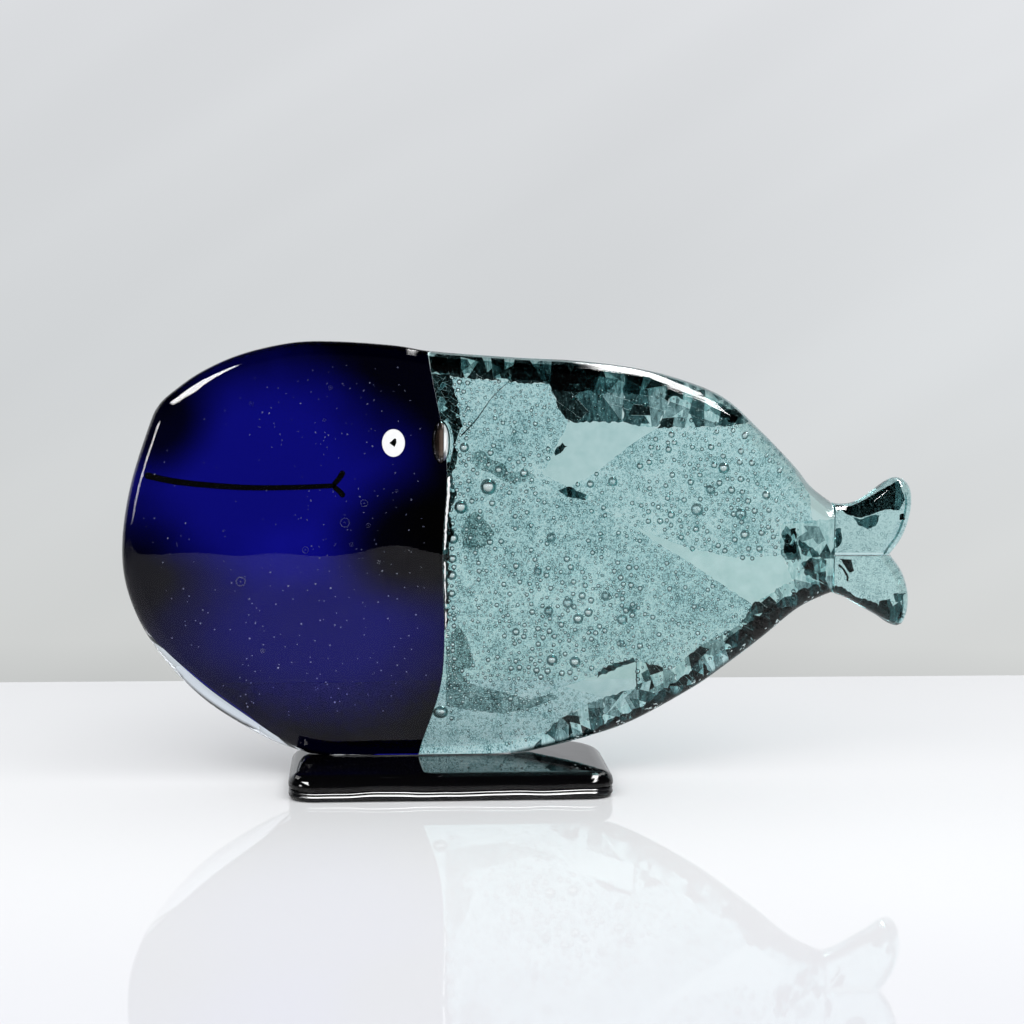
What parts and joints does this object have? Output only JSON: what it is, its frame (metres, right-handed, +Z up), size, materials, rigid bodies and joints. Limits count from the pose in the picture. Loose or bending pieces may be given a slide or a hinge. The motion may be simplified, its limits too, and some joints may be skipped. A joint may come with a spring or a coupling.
{
  "type": "glass whale figurine",
  "caption": "Standing flat whale ornament of fused glass: cobalt head with inlaid eye and mouth, bubbled aqua body of shards, forked tail, on a black glass base.",
  "frame": {"origin": "middle of the underside of the base, on the surface the whale stands on", "axes": "+X from head to tail, +Y from the face with the eye towards the back, +Z up"},
  "size_m": [0.2002, 0.045, 0.1108],
  "materials": {
    "black_glass": "opaque black, fire polished",
    "cured_adhesive": "clear, light-cured",
    "cobalt_glass": "transparent cobalt blue, fire polished",
    "white_glass": "opaque white, fire polished",
    "aqua_glass": "transparent aqua, fire polished",
    "bubbled_glass": "aqua with trapped bubbles",
    "clear_glass": "transparent pale aqua"
  },
  "bodies": {
    "root": {"base_plate": "black_glass", "bond_film": "cured_adhesive", "head_front_sheet": "cobalt_glass", "head_core_sheet": "cobalt_glass", "head_back_sheet": "cobalt_glass", "eye_white": "white_glass", "eye_pupil": "black_glass", "mouth_line": "black_glass", "mouth_fork_upper": "black_glass", "mouth_fork_lower": "black_glass", "body_front_sheet": "aqua_glass", "body_back_sheet": "aqua_glass", "top_chip_front": "bubbled_glass", "top_chip_middle": "bubbled_glass", "top_chip_rear": "bubbled_glass", "back_chip": "bubbled_glass", "crown_shard_front": "bubbled_glass", "crown_shard_rear": "bubbled_glass", "upper_clear_wedge": "clear_glass", "flank_shard": "bubbled_glass", "middle_clear_wedge": "clear_glass", "belly_shard": "bubbled_glass", "lower_clear_wedge": "clear_glass", "keel_shard_front": "bubbled_glass", "keel_shard_rear": "bubbled_glass", "lower_chip_foot": "bubbled_glass", "lower_chip_front": "bubbled_glass", "lower_chip_middle": "bubbled_glass", "lower_chip_rear": "bubbled_glass", "tail_root_chip": "bubbled_glass", "upper_fluke": "aqua_glass", "lower_fluke": "aqua_glass"}
  },
  "joints": []
}
